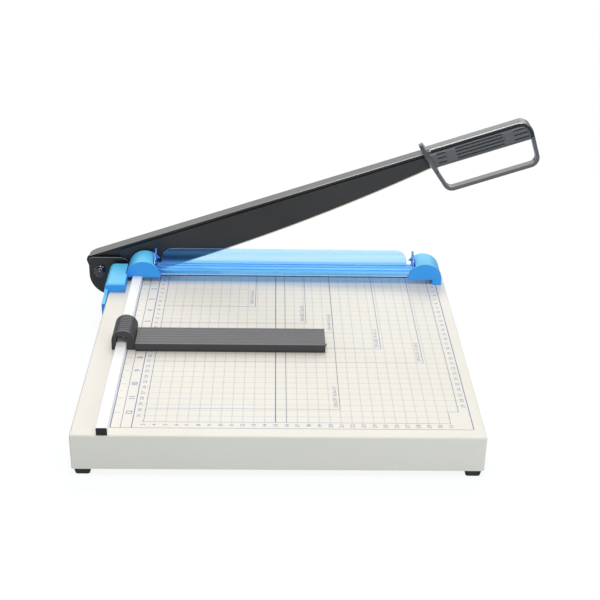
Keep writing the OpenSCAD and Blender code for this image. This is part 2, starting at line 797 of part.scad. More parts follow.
module left_end_cap() color(plastic_blue) in_left_cap() {
    difference() {
        end_cap(left_leg_w, left_leg_back);
        block([-rail_w - slide_gap - left_cap_x, -cap_front - eps, -eps],
              [slide_gap - left_cap_x, cap_inside_y0, cap_floor_z]);
    }
}
module right_end_cap() color(plastic_blue) in_right_cap() end_cap(right_leg_w, 0);
module cap_screws() color(steel) {
    for (y = cap_screw_y) {
        in_left_cap() translate([left_leg_w / 2 - cap_r, y, -sheet_t])
            pan_screw(cap_screw_d, sheet_t + cap_screw_grip);
        in_right_cap() translate([right_leg_w / 2 - cap_r, y, -sheet_t])
            pan_screw(cap_screw_d, sheet_t + cap_screw_grip);
    }
}

// Clamp springs: one in each cap, between the cap's floor and the guard's ledge
module clamp_spring() {
    translate([spring_x, spring_y, cap_floor_top]) coil_spring(spring_d, spring_wire, spring_l, spring_turns);
}
module left_clamp_spring() color(steel) in_left_cap() clamp_spring();
module right_clamp_spring() color(steel) in_right_cap() clamp_spring();

// Clamp guard: see-through moulding with a pressing plate, an upright shield and a fin at each end
module guard_end() {
    block([fin_root, fin_front, paper_gap], [cap_r + slide_gap + eps, -shield_back, paper_gap + plate_t]);
    along_x(fin_root, fin_root + fin_t) polygon([
        [fin_front, paper_gap], [fin_back, paper_gap], [fin_back, fin_top],
        [fin_front, cap_axis_z + sqrt(cap_r * cap_r - fin_x * fin_x)]
    ]);
    ledge_tip = spring_x - spring_d / 2 - ledge_margin;
    along_y(spring_y - ledge_w / 2, spring_y + ledge_w / 2) polygon([
        [fin_root + eps, ledge_z - ledge_root], [fin_root + eps, ledge_top - ledge_fall],
        [ledge_end, ledge_top], [ledge_tip, ledge_top], [ledge_tip, ledge_z], [ledge_end, ledge_z]
    ]);
}
module clamp_guard() color(clear_blue) {
    zero() {
        block([guard_x0, -plate_front, paper_gap], [guard_x1, -shield_back, paper_gap + plate_t]);
        for (y = rib_spots)
            block([left_cap_x + fin_x, -y - rib_w / 2, paper_gap],
                  [right_cap_x - fin_x, -y + rib_w / 2, paper_gap + plate_t + rib_h]);
        along_y(-shield_back - shield_t, -shield_back)
            rounded(guard_x0 - shield_over, guard_x1 + shield_over, paper_gap, shield_top,
                    [0, 0, shield_r, shield_r]);
    }
    in_left_cap() guard_end();
    in_right_cap() guard_end();
}

// Side cover: moulded lid over the left back corner, with a flap down the table's left face
module side_cover() color(plastic_blue) zero() {
    difference() {
        intersection() {
            union() {
                intersection() {
                    along_y(-cover_front, cover_back)
                        rounded(cover_x0, cover_x1, 0, cover_h, [0, 0, cover_edge_r, cover_fold_r]);
                    along_x(cover_x0, cover_x1)
                        rounded(-cover_front, cover_back, 0, cover_h, [0, 0, 0, cover_front_r]);
                }
                along_x(cover_x0, base_left - flap_gap) polygon([
                    [cover_back, -flap_drop], [cover_back, cover_h - cover_fold_r],
                    [-cover_front, cover_h - cover_fold_r], [-cover_front - flap_run, flap_root_z],
                    [-flap_front, flap_tip_z], [-flap_front, -flap_drop]
                ]);
            }
            translate([0, 0, -flap_drop]) linear_extrude(flap_drop + cover_h)
                rounded(cover_x0, cover_x1, -flap_front, cover_back, [0, 0, 0, cover_corner_r]);
        }
        difference() {
            along_y(-cover_front + cover_wall, 0)
                rounded(base_left - flap_gap, cover_x1 - cover_wall, -eps, cover_h - cover_wall,
                        [0, 0, 0, cover_inner_r]);
            for (p = cover_screw_spots) translate(p) cylinder(d = cover_boss_d, h = cover_h);
            block([cover_cap_x - cover_wall, cover_cap_y - cover_wall, 0], [cover_x1, 0, cover_h]);
        }
        block([cover_cap_x, cover_cap_y, -eps], [cover_x1 + eps, 0, cover_h + eps]);
        for (p = cover_screw_spots) translate(p) pilot_hole(cap_screw_d, cover_screw_grip);
    }
}
module cover_screws() color(steel) zero() {
    for (p = cover_screw_spots)
        translate([p[0], p[1], -sheet_t]) pan_screw(cap_screw_d, sheet_t + cover_screw_grip);
}

// Pivot bracket: steel plate on the back skirt, in line with the bed knife
module pivot_bracket() color(enamel_black) {
    difference() {
        zero() along_y(tray_back, 0)
            rounded(pivot_x - bracket_left, bracket_x1, pivot_z - bracket_bottom, pivot_z + bracket_top,
                    [bracket_corner_r, bracket_foot_r, bracket_shoulder_r, bracket_top_r]);
        at_pivot() bar_y(pivot_thread_d + 2 * hole_slack, tray_back - eps, eps);
        zero() for (p = bracket_screw_spots)
            translate([p[0], 0, p[1]]) rotate([90, 0, 0]) sunk_hole(bracket_screw_d, knife_t + eps);
    }
}
module bracket_screws() color(steel) zero() back_screws(bracket_screw_spots, bracket_screw_d);
module bracket_nuts() color(steel) zero() back_nuts(bracket_screw_spots, bracket_screw_d);

// Pivot bolt: shoulder screw with its head behind the arm and a lock nut on the bracket's near face
module pivot_bolt() color(steel) at_pivot() {
    bar_y(pivot_d, 0, shoulder_l + eps);
    bar_y(pivot_thread_d, tray_back - washer_t - lock_nut_h - lock_collar_h - screw_tail, eps);
    translate([0, shoulder_l, 0]) rotate([-90, 0, 0])
        cylinder(d = bolt_head_af / cos(30), h = bolt_head_h, $fn = 6);
}
module pivot_washer() color(steel) at_pivot() {
    difference() {
        bar_y(front_washer_d, tray_back - washer_t, tray_back);
        bar_y(pivot_thread_d + 2 * hole_slack, tray_back - washer_t - eps, tray_back + eps);
    }
}
module pivot_lock_nut() color(steel) at_pivot() {
    nut_y = tray_back - washer_t - lock_nut_h;
    translate([0, tray_back - washer_t, 0]) rotate([90, 0, 0]) hex_nut(pivot_thread_d);
    difference() {
        bar_y(nut_af(pivot_thread_d) * 0.92, nut_y - lock_collar_h, nut_y);
        bar_y(pivot_thread_d + 2 * thread_slack, nut_y - lock_collar_h - eps, nut_y + eps);
    }
}
module thrust_washer() color(steel) at_pivot() {
    difference() {
        bar_y(bush_flange_d, washer_y0, disc_y0);
        bar_y(pivot_d + 2 * hole_slack, washer_y0 - eps, disc_y0 + eps);
    }
}
module disc_spring() color(steel) at_pivot() {
    disc_in = pivot_d / 2 + hole_slack;
    disc_out = bush_flange_d / 2 - disc_margin;
    rotate([-90, 0, 0]) rotate_extrude() polygon([
        [disc_in, disc_y0 + disc_rise], [disc_out, disc_y0],
        [disc_out, disc_y0 + disc_t], [disc_in, disc_y0 + disc_rise + disc_t]
    ]);
}
module pivot_bush() color(brass) at_pivot() {
    difference() {
        union() {
            bar_y(bush_flange_d, shear_gap, web_y0);
            bar_y(bush_d, web_y0 - eps, bush_y1);
        }
        bar_y(pivot_d + 2 * pivot_slack, shear_gap - eps, bush_y1 + eps);
    }
}

// Arm: steel angle with a broad top flange; its web carries the blade and runs into the handle
module edge_disc(inset) translate([edge_x, edge_z]) circle(edge_r - inset, $fn = edge_fn);
module arm_beam() color(enamel_black) in_arm() {
    difference() {
        union() {
            along_y(web_y0, web_y1) {
                intersection() {
                    rounded(-heel_back, ring_x, -heel_drop, arm_top, [heel_r, 0, 0, heel_top_r]);
                    edge_disc(web_setback);
                }
                rounded(ring_x - tang_lap, tang_end, tang_z0, arm_top - arm_t, [0, tang_r, tang_r, 0]);
            }
            translate([0, 0, arm_top - arm_t]) linear_extrude(arm_t)
                union() {
                    rounded(-heel_flange, flange_shoulder, shear_gap, shear_gap + flange_w,
                            [0, 0, 0, flange_heel_r]);
                    rounded(flange_shoulder - eps, flange_end, web_y0, web_y0 + tongue_w,
                            [0, 0, flange_end_r, 0]);
                }
        }
        bar_y(bush_d + 2 * thread_slack, web_y0 - eps, web_y1 + eps);
        for (x = blade_screw_x) translate([x, 0, blade_screw_z])
            bar_y(blade_screw_d + 2 * hole_slack, web_y0 - eps, web_y1 + eps);
        for (x = pad_x) translate([x, 0, handle_screw_z])
            bar_y(handle_screw_d + 2 * hole_slack, web_y0 - eps, web_y1 + eps);
    }
}

// Blade: steel plate with a curved edge, flat on the bed knife's side and bevelled behind
module blade() color(enamel_black) in_arm() {
    difference() {
        intersection() {
            along_y(shear_gap, web_y0) difference() {
                rounded(blade_start, ring_x, -edge_drop - blade_room, blade_back, [0, 0, 0, blade_heel_r]);
                translate([blade_end, 0]) rotate(ring_lean)
                    translate([0, -edge_drop - blade_room]) square(4 * blade_room + edge_drop);
            }
            translate([edge_x, shear_gap, edge_z]) rotate([-90, 0, 0])
                cylinder(r1 = edge_r, r2 = edge_r - bevel_w, h = blade_t, $fn = edge_fn);
        }
        for (x = blade_screw_x) translate([x, 0, blade_screw_z])
            bar_y(blade_screw_d + 2 * thread_slack, shear_gap + blade_skin, web_y0 + eps);
    }
}
module blade_screws() color(steel) in_arm() {
    for (x = blade_screw_x)
        translate([x, web_y1, blade_screw_z]) rotate([90, 0, 0])
            pan_screw(blade_screw_d, arm_t + blade_screw_bite);
}

// Handle: moulded grip pushed over the arm's end, with a leaning finger stop and a finger loop
module arm_socket() {
    along_y(web_y0 - socket_slack, web_y1 + socket_slack)
        rounded(0, tang_end + socket_slack, tang_z0 - socket_slack, arm_top - arm_t + eps, [0, 0, 0, 0]);
    block([0, shear_gap - socket_slack, arm_top - arm_t - socket_slack],
          [flange_shoulder + socket_slack, shear_gap + flange_w + socket_slack, arm_top + socket_slack]);
    block([0, web_y0 - socket_slack, arm_top - arm_t - socket_slack],
          [flange_end + socket_slack, web_y0 + tongue_w + socket_slack, arm_top + socket_slack]);
}
module behind_ring() {
    translate([ring_x, 0, 0]) rotate([0, -ring_lean, 0])
        translate([0, -grip_w, -grip_l]) cube([2 * grip_l, 3 * grip_w, 2 * grip_l]);
}
module rim_groove() {
    inner = rim_t + rim_groove_h;
    difference() {
        rounded(ring_x + rim_groove_start, grip_end - rim_t, panel_z0, grip_top - rim_t,
                [0, 0, grip_end_r - rim_t, 0]);
        rounded(ring_x, grip_end - inner, panel_z0 - eps, grip_top - inner, [0, 0, grip_end_r - inner, 0]);
    }
}
module panel_outline(inset) {
    rounded(panel_x0 + inset, grip_end - panel_inset - inset, panel_z0, panel_z1 - inset,
            [0, 0, grip_end_r - panel_inset - inset, 0]);
}
module panel_rows(x0, x1, count) {
    pitch = (panel_z1 - panel_z0) / count;
    for (i = [0 : count - 1])
        translate([x0, panel_z0 + (i + 0.5) * pitch - panel_groove_w / 2]) square([x1 - x0, panel_groove_w]);
}
module grip_grooves() {
    pad_room = pad_w / 2 + panel_groove_gap;
    along_y(-eps, rim_groove_deep) rim_groove();
    along_y(-eps, panel_deep) difference() {
        panel_outline(0);
        for (x = pad_x) translate([x - pad_w / 2, handle_screw_z - pad_h / 2]) square([pad_w, pad_h]);
    }
    along_y(0, panel_groove_deep) intersection() {
        panel_outline(panel_groove_edge);
        union() {
            panel_rows(ring_x, pad_x[0] - pad_room, 3);
            panel_rows(pad_x[0] + pad_room, pad_x[1] - pad_room, 4);
            panel_rows(pad_x[1] + pad_room, grip_end, 3);
        }
    }
}
module handle() color(plastic_black) in_arm() {
    difference() {
        union() {
            intersection() {
                along_x(ring_x - grip_root, grip_end) rounded(grip_y0, grip_y1, grip_low, grip_top,
                    [grip_low_r, grip_low_r, grip_top_r, grip_top_r]);
                along_y(grip_y0, grip_y1) rounded(ring_x - grip_root, grip_end, grip_low, grip_top,
                    [0, grip_tail_r, grip_end_r, 0]);
                behind_ring();
            }
            translate([ring_x, 0, 0]) rotate([0, -ring_lean, 0])
                along_x(-ring_t / 2, ring_t / 2) belt([[grip_mid, ring_z0], [grip_mid, ring_z1]], ring_r);
            along_y(grip_mid - loop_w / 2, grip_mid + loop_w / 2) difference() {
                belt(loop_points, loop_r);
                belt(loop_points, loop_r - loop_t);
            }
        }
        arm_socket();
        translate([0, grip_y0, 0]) grip_grooves();
        translate([0, grip_y1, 0]) mirror([0, 1, 0]) grip_grooves();
        for (x = pad_x) translate([x, 0, handle_screw_z]) {
            bar_y(handle_screw_d + 2 * thread_slack, grip_y0 + handle_skin, grip_y1 + eps);
            bar_y(head_d(handle_screw_d) + 2 * hole_slack, grip_y1 - pan_h(handle_screw_d), grip_y1 + eps);
        }
    }
}
module handle_screws() color(steel) in_arm() {
    for (x = pad_x)
        translate([x, grip_y1 - pan_h(handle_screw_d), handle_screw_z]) rotate([90, 0, 0])
            pan_screw(handle_screw_d, grip_w - pan_h(handle_screw_d) - handle_skin - handle_screw_tip);
}

// Paper guide: ribbed arch that rides on the rail, with a grooved bar square to the fence
module slider_outline(inset) {
    translate([slider_x0 + inset, guide_gap]) square([slider_w - 2 * inset, slider_leg - guide_gap]);
    translate([slider_mid, slider_leg]) intersection() {
        circle(slider_w / 2 - inset, $fn = 128);
        translate([-slider_w, -eps]) square([2 * slider_w, slider_w]);
    }
}
module guide_slider() color(plastic_black) zero() {
    difference() {
        along_y(slider_y0, slider_y1) slider_outline(0);
        along_y(slider_y0 - eps, slider_y1 + eps) translate([-rail_w / 2, 0]) {
            translate([-tunnel_r, 0]) square([2 * tunnel_r, tunnel_side]);
            translate([0, tunnel_side]) circle(tunnel_r);
        }
        for (i = [1 : slider_ribs])
            along_y(slider_y0 + i * slider_rib_pitch - slider_rib_w / 2,
                    slider_y0 + i * slider_rib_pitch + slider_rib_w / 2)
                difference() {
                    translate([slider_x0 - eps, slider_leg]) square([slider_w + 2 * eps, slider_w]);
                    slider_outline(slider_rib_deep);
                }
        pocket_half = bar_tenon_d / 2 + tenon_slack;
        block([tenon_x0 - tenon_slack, bar_tenon_y - pocket_half, bar_tenon_z0 - tenon_slack],
              [slider_x1 + eps, bar_tenon_y + pocket_half, bar_tenon_z1 + tenon_slack]);
        for (y = guide_screw_y)
            translate([guide_screw_x, y, guide_gap]) sunk_hole(guide_screw_d, bar_tenon_z0);
    }
    for (side = [0, 1])
        translate([-rail_w / 2, 0, 0]) mirror([side, 0, 0])
            block([tunnel_r - lip_reach, slider_y0, rail_groove_z + lip_gap],
                  [tunnel_r + eps, slider_y1, rail_groove_z + rail_groove_h - lip_gap]);
}
module guide_bar() color(plastic_black) zero() {
    difference() {
        union() {
            block([bar_x0, bar_y0, guide_gap], [bar_reach, bar_y1, bar_h]);
            block([tenon_x0, bar_tenon_y - bar_tenon_d / 2, bar_tenon_z0],
                  [bar_x0 + eps, bar_tenon_y + bar_tenon_d / 2, bar_tenon_z1]);
            translate([bar_reach - eps, bar_y0 + nub_inset, bar_h - nub_low]) rotate([0, 90, 0])
                cylinder(d = nub_d, h = nub_l + eps);
        }
        for (i = [0 : bar_grooves - 1]) {
            groove_y = bar_y0 + groove_margin + (i + 0.5) * groove_pitch;
            translate([bar_x0 - eps, groove_y, bar_h + groove_r - groove_deep])
                rotate([0, 90, 0]) cylinder(r = groove_r, h = bar_reach - bar_x0 + 2 * eps);
        }
        block([bar_x0 - eps, bar_y0 - eps, 0], [bar_reach + eps, bar_y0 + toe_deep, guide_gap + toe_h]);
        for (y = guide_screw_y) translate([guide_screw_x, y, bar_tenon_z0])
            pilot_hole(guide_screw_d, guide_gap + guide_screw_l - bar_tenon_z0);
    }
}
module guide_screws() color(steel) zero() {
    for (y = guide_screw_y) translate([guide_screw_x, y, guide_gap]) sunk_screw(guide_screw_d, guide_screw_l);
}

base_tray();
foot_front_left();
foot_front_right();
foot_back_left();
foot_back_right();
foot_screws();
foot_nuts();
bed_knife();
knife_screws();
knife_nuts();
fence_rail();
rail_end_plug();
rail_screws();
left_end_cap();
right_end_cap();
cap_screws();
left_clamp_spring();
right_clamp_spring();
side_cover();
cover_screws();
pivot_bracket();
bracket_screws();
bracket_nuts();
pivot_bolt();
pivot_washer();
pivot_lock_nut();
thrust_washer();
disc_spring();
clamp_guard();
guide_slider();
guide_bar();
guide_screws();
arm_beam();
blade();
blade_screws();
pivot_bush();
handle();
handle_screws();
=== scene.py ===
import json
import math

import bmesh
import bpy
from mathutils import Matrix, Vector


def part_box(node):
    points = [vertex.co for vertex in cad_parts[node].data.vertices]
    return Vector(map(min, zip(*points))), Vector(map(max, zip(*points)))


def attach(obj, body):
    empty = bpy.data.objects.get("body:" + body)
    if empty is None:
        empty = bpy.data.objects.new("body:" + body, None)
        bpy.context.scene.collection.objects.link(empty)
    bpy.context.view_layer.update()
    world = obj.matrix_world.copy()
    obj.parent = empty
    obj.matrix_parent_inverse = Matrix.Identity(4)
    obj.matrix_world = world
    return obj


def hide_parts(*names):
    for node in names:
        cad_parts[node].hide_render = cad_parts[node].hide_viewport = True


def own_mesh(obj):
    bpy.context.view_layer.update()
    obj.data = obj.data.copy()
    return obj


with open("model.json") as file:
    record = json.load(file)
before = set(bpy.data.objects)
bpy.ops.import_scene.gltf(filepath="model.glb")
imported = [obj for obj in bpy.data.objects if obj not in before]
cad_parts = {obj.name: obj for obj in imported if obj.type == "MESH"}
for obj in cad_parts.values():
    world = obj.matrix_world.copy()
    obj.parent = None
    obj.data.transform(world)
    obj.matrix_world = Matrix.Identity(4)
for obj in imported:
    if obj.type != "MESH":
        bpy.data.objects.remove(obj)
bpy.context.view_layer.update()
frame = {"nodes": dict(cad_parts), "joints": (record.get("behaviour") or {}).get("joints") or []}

mm = 0.001
scene = bpy.context.scene
scene.view_settings.view_transform = "Standard"


# Studio: a pale seamless floor, lit by two lamps overhead, a broad one behind and one in front.
# The surround is plain white, and the camera stands where the photograph was taken.
class Value:
    """One output of a node; sums and products of values add Math nodes."""

    def __init__(self, tree, socket):
        self.tree, self.socket = tree, socket

    def other(self, name):
        return Value(self.tree, self.socket.node.outputs[name])

    def math(self, operation, other, flipped=False):
        node = self.tree.nodes.new("ShaderNodeMath")
        node.operation = operation
        for socket, item in zip(node.inputs, (other, self) if flipped else (self, other)):
            if isinstance(item, Value):
                self.tree.links.new(item.socket, socket)
            else:
                socket.default_value = item
        return Value(self.tree, node.outputs[0])

    def __add__(self, other):
        return self.math("ADD", other)

    def __sub__(self, other):
        return self.math("SUBTRACT", other)

    def __rsub__(self, other):
        return self.math("SUBTRACT", other, True)

    def __mul__(self, other):
        return self.math("MULTIPLY", other)

    def __truediv__(self, other):
        return self.math("DIVIDE", other)

    __radd__, __rmul__ = __add__, __mul__


class Nodes:
    """A node tree; put() takes a node's type, its sockets' values or links, then its settings."""

    def __init__(self, tree):
        self.tree = tree

    def feed(self, socket, value):
        if isinstance(value, Value):
            self.tree.links.new(value.socket, socket)
        else:
            socket.default_value = value

    def put(self, kind, sockets=None, settings=None, out=0):
        node = self.tree.nodes.new(kind)
        for name, value in (settings or {}).items():
            setattr(node, name, value)
        for name, value in (sockets or {}).items():
            self.feed(node.inputs[name], value)
        return Value(self.tree, node.outputs[out])

    def seen(self):
        """1 for what the camera sees, straight or through glass, and 0 for what only lights the object."""
        path = self.put("ShaderNodeLightPath", out="Is Camera Ray")
        direct = path.other("Diffuse Depth").math("LESS_THAN", 0.5)
        return path.math("MAXIMUM", path.other("Is Transmission Ray") * direct)


class Finish(Nodes):
    """A material with one Principled shader; even values go straight on the shader's sockets."""

    def __init__(self, name, even):
        self.material = bpy.data.materials.new(name)
        self.material.use_nodes = True
        super().__init__(self.material.node_tree)
        self.shader = self.tree.nodes["Principled BSDF"]
        self.vary(even)

    def vary(self, sockets):
        for name, value in sockets.items():
            self.feed(self.shader.inputs[name], value)

    def show(self, look):
        self.feed(self.tree.nodes["Material Output"].inputs["Surface"], look)

    def place(self, stretch=(1, 1, 1), turn=(0, 0, 0)):
        spot = self.put("ShaderNodeTexCoord", out="Object")
        return self.put("ShaderNodeMapping", {"Vector": spot, "Scale": stretch, "Rotation": turn})

    def along(self, axis, what="Object"):
        spot = self.put("ShaderNodeTexCoord", out=what)
        return self.put("ShaderNodeSeparateXYZ", {"Vector": spot}, out=axis)

    def facing(self, axis):
        """How squarely a face looks along an axis, either way."""
        return self.along(axis, "Normal").math("ABSOLUTE", 0)

    def noise(self, scale, detail, place=None):
        sockets = {"Vector": place or self.place(), "Scale": scale, "Detail": detail}
        return self.put("ShaderNodeTexNoise", sockets)

    def mask(self, value, low, high):
        sockets = {"Value": value, "From Min": low, "From Max": high}
        return self.put("ShaderNodeMapRange", sockets, {"interpolation_type": "SMOOTHSTEP"})

    def upper_edge(self):
        """Rounded edges between an upper face and one that looks forward or back."""
        upward = self.along("Z", "Normal")
        return self.mask(self.facing("Y"), 0.2, 0.35) * self.mask(upward, 0.2, 0.35)

    def between(self, share, first, second):
        return self.put("ShaderNodeMix", {0: share, 6: first, 7: second}, {"data_type": "RGBA"}, 2)

    def relief(self, height, depth, strength):
        return self.put("ShaderNodeBump", {"Height": height, "Distance": depth, "Strength": strength})


def srgb(red, green, blue):
    parts = [c / 255 for c in (red, green, blue)]
    return tuple(c / 12.92 if c < 0.04045 else ((c + 0.055) / 1.055) ** 2.4 for c in parts) + (1.0,)


floor_half = 20
floor_glow = 0.8
floor_mesh = bpy.data.meshes.new("studio_floor")
floor_corners = [(x * floor_half, y * floor_half, 0) for x, y in ((-1, -1), (1, -1), (1, 1), (-1, 1))]
floor_mesh.from_pydata(floor_corners, [], [(0, 1, 2, 3)])
floor = bpy.data.objects.new("studio_floor", floor_mesh)
scene.collection.objects.link(floor)
paper = Finish("studio_paper", {
    "Base Color": srgb(198, 205, 210), "Roughness": 0.9, "Specular IOR Level": 0.1,
})
bright = paper.put("ShaderNodeEmission", {"Color": (1, 1, 1, 1), "Strength": 1.12})
lit = Value(paper.tree, paper.shader.outputs[0])
paper.show(paper.put("ShaderNodeMixShader", {0: paper.seen() * floor_glow, 1: lit, 2: bright}))
floor_mesh.materials.append(paper.material)

surround = bpy.data.worlds.new("studio_surround")
surround.use_nodes = True
sky = Nodes(surround.node_tree)
soft = sky.put("ShaderNodeBackground", {"Color": (1, 1, 1, 1), "Strength": 0.36})
white = sky.put("ShaderNodeBackground", {"Color": (1, 1, 1, 1), "Strength": 1.0})
backdrop = sky.put("ShaderNodeMixShader", {0: sky.seen(), 1: soft, 2: white})
sky.feed(sky.tree.nodes["World Output"].inputs["Surface"], backdrop)
scene.world = surround


def lamp(name, spot, aim, size, watts, colour):
    light = bpy.data.lights.new(name, "AREA")
    light.shape, light.size, light.size_y = "RECTANGLE", *size
    light.energy, light.color = watts, colour
    stand = bpy.data.objects.new(name, light)
    stand.location = spot
    stand.rotation_euler = (Vector(aim) - Vector(spot)).to_track_quat("-Z", "Y").to_euler()
    scene.collection.objects.link(stand)


lamp("overhead_lamp", (0.0, -0.5, 1.5), (0.0, 0.0, 0.05), (0.7, 0.45), 7.6, (1.0, 1.0, 0.99))
lamp("strip_lamp", (0.1, 0.6, 1.3), (0.1, 0.1, 0.1), (1.1, 0.2), 4.4, (1.0, 1.0, 0.99))
lamp("back_lamp", (0.0, 1.9, 1.1), (0.0, 0.0, 0.05), (2.6, 1.6), 17.0, (1.0, 1.0, 1.0))
lamp("front_lamp", (1.1, -1.6, 0.6), (0.1, 0.0, 0.06), (0.8, 0.7), 10.4, (0.87, 0.98, 1.0))

focal_px, image_px = 1189.796, 600
down, yaw, roll = 0.472236, 0.027492, 0.021826
forward = Vector((math.sin(yaw) * math.cos(down), math.cos(yaw) * math.cos(down), -math.sin(down)))
level = forward.cross(Vector((0, 0, 1))).normalized()
above = level.cross(forward)
across = math.cos(roll) * level + math.sin(roll) * above
upright = math.cos(roll) * above - math.sin(roll) * level
camera_spot = (-0.008437, -1.062876, 0.636331)
camera_turn = Matrix((across, upright, -forward)).transposed().to_4x4()
film_width = 36
camera = bpy.data.objects.new("camera", bpy.data.cameras.new("camera"))
camera.matrix_world = Matrix.Translation(camera_spot) @ camera_turn
camera.data.sensor_width = film_width
camera.data.lens = film_width * focal_px / image_px
scene.collection.objects.link(camera)
scene.camera = camera


# Table: a shallow tray folded from sheet steel with welded corners, sprayed with
# cream enamel and baked, which leaves a faint orange peel over flat, slightly wavy faces.
def dress(name, node, body, material, edge):
    """A copy of a CAD node with its sharp edges eased, which rides in the node's place."""
    same_spot, same_plane, sharp = 0.002 * mm, math.radians(0.6), math.radians(36)
    mesh = frame["nodes"][node].data.copy()
    shell = bmesh.new()
    shell.from_mesh(mesh)
    bmesh.ops.remove_doubles(shell, verts=shell.verts, dist=same_spot)
    bmesh.ops.dissolve_limit(shell, angle_limit=same_plane, verts=shell.verts, edges=shell.edges)
    shell.to_mesh(mesh)
    shell.free()
    mesh.materials.clear()
    mesh.materials.append(material)
    mesh.polygons.foreach_set("use_smooth", [True] * len(mesh.polygons))
    mesh.set_sharp_from_angle(angle=sharp)
    piece = bpy.data.objects.new(name, mesh)
    scene.collection.objects.link(piece)
    easing = piece.modifiers.new("eased_edges", "BEVEL")
    easing.width, easing.segments = edge * mm, 2
    easing.limit_method, easing.angle_limit = "ANGLE", sharp
    evening = piece.modifiers.new("even_faces", "WEIGHTED_NORMAL")
    evening.weight, evening.keep_sharp = 90, True
    eased = piece.evaluated_get(bpy.context.evaluated_depsgraph_get())
    piece.data = bpy.data.meshes.new_from_object(eased)
    piece.modifiers.clear()
    piece.data.name = name
    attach(piece, body)
    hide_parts(node)


def enamel(name, colour, deeper, rough, peel, gloss=0.15, painted_highlight=None, painted_shade=None):
    """Baked paint; it may carry a painted highlight in places, and painted shade in others."""
    paint = Finish(name, {"IOR": 1.5, "Coat Weight": gloss, "Coat Roughness": 0.16})
    cloud = paint.noise(7, 3)
    fine = paint.noise(220, 3)
    specks = paint.mask(paint.noise(900, 1), 0.71, 0.78)
    shade = paint.between(cloud * 0.6 + fine * 0.25, colour, deeper)
    shade = paint.between(specks * 0.25, shade, deeper)
    # Painted shade: the given faces are darkened as if shadowed.
    if painted_shade:
        shade = paint.between(painted_shade(paint), shade, srgb(8, 8, 9))
    # Painted highlight: the given edges are paled as if catching a lamp.
    if painted_highlight:
        shade = paint.between(painted_highlight(paint), shade, srgb(238, 238, 240))
    paint.vary({
        "Base Color": shade,
        "Roughness": rough + (cloud - 0.5) * 0.08 + (fine - 0.5) * 0.1,
        "Normal": paint.relief(paint.noise(650, 2), peel * mm, 0.5),
    })
    return paint.material


cream = enamel("cream_enamel", srgb(244, 240, 231), srgb(234, 228, 216), 0.42, 0.05)
dress("enamelled_table", "base_tray", "base", cream, 0.25)


# Printed ruling: blue screen-printed ink on the enamel, with a dashed centimetre grid,
# outlines of common sheet sizes, and inch and centimetre rulers along three sides.
fence_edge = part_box("fence_rail")[1].x
cutting_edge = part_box("bed_knife")[1].y
table_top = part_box("bed_knife")[1].z
ink_film = 0.03 * mm
cm = 10 * mm


def on_table(right, depth):
    """A place on the print, in centimetres from the fence and from the cutting edge."""
    return Vector((fence_edge + right * cm, cutting_edge - depth * cm, table_top + ink_film))


def ink(name, colour, thin):
    print_ink = Finish(name, {"Roughness": 0.5, "IOR": 1.45})
    patchy = print_ink.mask(print_ink.noise(520, 3), 0.35, 0.8)
    broad = print_ink.noise(30, 2)
    shade = print_ink.between(patchy * 0.45 + broad * 0.2, colour, thin)
    print_ink.vary({"Base Color": shade, "Roughness": 0.42 + patchy * 0.2})
    return print_ink.material


grid_ink = ink("grid_ink", srgb(132, 138, 174), srgb(166, 171, 197))
line_ink = ink("line_ink", srgb(90, 100, 164), srgb(136, 145, 194))


def rule(name, sizes):
    """A geometry tree with these named inputs, and its inputs as values."""
    tree = bpy.data.node_groups.new(name, "GeometryNodeTree")
    for label, kind in sizes.items():
        tree.interface.new_socket(label, in_out="INPUT", socket_type=kind)
    tree.interface.new_socket("Geometry", in_out="OUTPUT", socket_type="NodeSocketGeometry")
    made = Nodes(tree)
    start = made.put("NodeGroupInput")
    return made, {label: start.other(label) for label in sizes}


def finish_rule(made, geometry, material):
    whole = made.put("GeometryNodeRealizeInstances", {"Geometry": geometry})
    inked = made.put("GeometryNodeSetMaterial", {"Geometry": whole, "Material": material})
    end = made.tree.nodes.new("NodeGroupOutput")
    made.feed(end.inputs["Geometry"], inked)


def grow(name, tree, sizes):
    """The plain mesh that a geometry tree makes from these sizes."""
    host = bpy.data.objects.new(name, bpy.data.meshes.new(name))
    scene.collection.objects.link(host)
    modifier = host.modifiers.new("rule", "NODES")
    modifier.node_group = tree
    for item in tree.interface.items_tree:
        if item.in_out == "INPUT":
            modifier[item.identifier] = sizes[item.name]
    host.update_tag()
    grown = host.evaluated_get(bpy.context.evaluated_depsgraph_get())
    mesh = bpy.data.meshes.new_from_object(grown)
    finish = [material for material in mesh.materials if material][0]
    mesh.materials.clear()
    mesh.materials.append(finish)
    mesh.polygons.foreach_set("material_index", [0] * len(mesh.polygons))
    host.modifiers.clear()
    host.data = mesh
    return host


number, vector, surface = "NodeSocketFloat", "NodeSocketVector", "NodeSocketMaterial"
dashes, size = rule("dashed_field", {
    "Length": number, "Depth": number, "Line pitch": number, "Dash pitch": number,
    "Dash length": number, "Dash width": number, "Turn": number, "Corner": vector, "Ink": surface,
})
field = dashes.put("GeometryNodeMeshGrid", {
    "Size X": size["Length"] - size["Dash pitch"], "Size Y": size["Depth"],
    "Vertices X": size["Length"] / size["Dash pitch"] + 0.5,
    "Vertices Y": size["Depth"] / size["Line pitch"] + 1.5,
})
dash = dashes.put("GeometryNodeMeshGrid", {
    "Size X": size["Dash length"], "Size Y": size["Dash width"], "Vertices X": 2, "Vertices Y": 2,
})
spread = dashes.put("GeometryNodeInstanceOnPoints", {"Points": field, "Instance": dash})
centre = dashes.put("ShaderNodeCombineXYZ", {"X": size["Length"] / 2, "Y": size["Depth"] / 2})
spread = dashes.put("GeometryNodeTransform", {"Geometry": spread, "Translation": centre})
heading = dashes.put("ShaderNodeCombineXYZ", {"Z": size["Turn"]})
spread = dashes.put(
    "GeometryNodeTransform", {"Geometry": spread, "Translation": size["Corner"], "Rotation": heading}
)
finish_rule(dashes, spread, size["Ink"])


